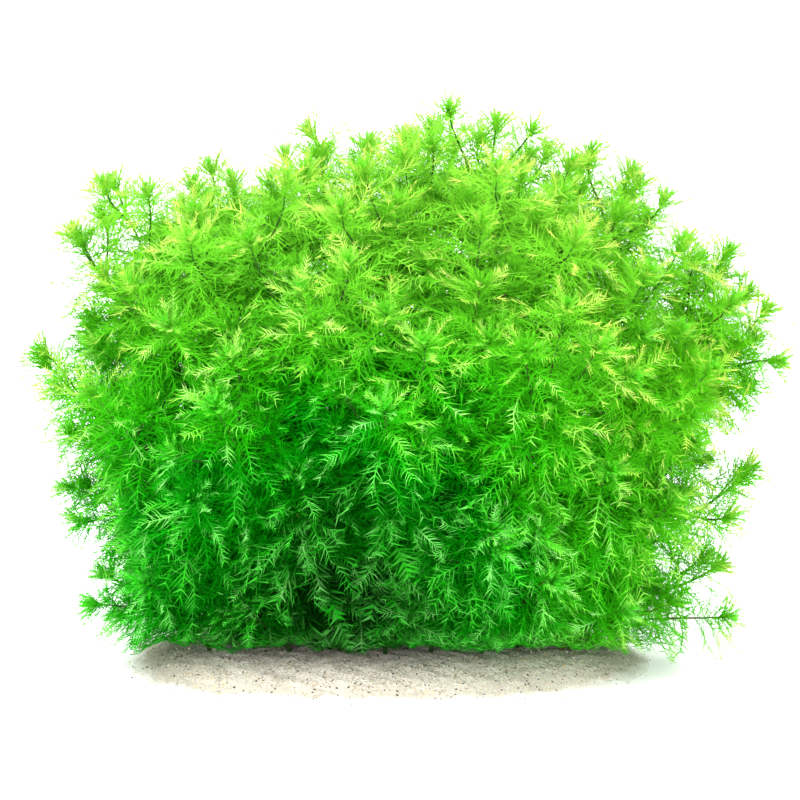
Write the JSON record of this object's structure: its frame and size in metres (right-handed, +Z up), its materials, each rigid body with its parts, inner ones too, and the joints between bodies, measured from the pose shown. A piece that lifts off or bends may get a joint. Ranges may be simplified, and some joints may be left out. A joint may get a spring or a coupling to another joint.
{
  "type": "aquarium stem plant bush",
  "caption": "Rounded bush of feathery stem-plant shoots rooted in a low oval patch of pale loose sand.",
  "frame": {"origin": "middle of the sand patch's flat underside", "axes": "+Z up out of the sand, +X along the bush's width to the right as seen from its front, -Y towards the side the bush is looked at from"},
  "size_m": [0.5896, 0.4568, 0.4336],
  "materials": {
    "pale_sand": "matte",
    "skirt_green": "satin",
    "lower_green": "satin",
    "middle_green": "satin",
    "upper_green": "satin",
    "shoulder_green": "satin",
    "crown_green": "satin"
  },
  "bodies": {
    "root": {"crown_shoot_01": "crown_green", "crown_shoot_02": "crown_green", "crown_shoot_03": "crown_green", "lower_shoot_01": "lower_green", "lower_shoot_02": "lower_green", "lower_shoot_03": "lower_green", "lower_shoot_04": "lower_green", "lower_shoot_05": "lower_green", "lower_shoot_06": "lower_green", "lower_shoot_07": "lower_green", "lower_shoot_08": "lower_green", "lower_shoot_09": "lower_green", "lower_shoot_10": "lower_green", "middle_shoot_01": "middle_green", "middle_shoot_02": "middle_green", "middle_shoot_03": "middle_green", "middle_shoot_04": "middle_green", "middle_shoot_05": "middle_green", "middle_shoot_06": "middle_green", "middle_shoot_07": "middle_green", "middle_shoot_08": "middle_green", "middle_shoot_09": "middle_green", "middle_shoot_10": "middle_green", "middle_shoot_11": "middle_green", "middle_shoot_12": "middle_green", "sand_bed": "pale_sand", "shoulder_shoot_01": "shoulder_green", "shoulder_shoot_02": "shoulder_green", "shoulder_shoot_03": "shoulder_green", "shoulder_shoot_04": "shoulder_green", "shoulder_shoot_05": "shoulder_green", "shoulder_shoot_06": "shoulder_green", "shoulder_shoot_07": "shoulder_green", "shoulder_shoot_08": "shoulder_green", "skirt_shoot_01": "skirt_green", "skirt_shoot_02": "skirt_green", "skirt_shoot_03": "skirt_green", "skirt_shoot_04": "skirt_green", "skirt_shoot_05": "skirt_green", "skirt_shoot_06": "skirt_green", "skirt_shoot_07": "skirt_green", "skirt_shoot_08": "skirt_green", "skirt_shoot_09": "skirt_green", "skirt_shoot_10": "skirt_green", "skirt_shoot_11": "skirt_green", "upper_shoot_01": "upper_green", "upper_shoot_02": "upper_green", "upper_shoot_03": "upper_green", "upper_shoot_04": "upper_green", "upper_shoot_05": "upper_green", "upper_shoot_06": "upper_green", "upper_shoot_07": "upper_green", "upper_shoot_08": "upper_green", "upper_shoot_09": "upper_green", "upper_shoot_10": "upper_green"}
  },
  "joints": []
}
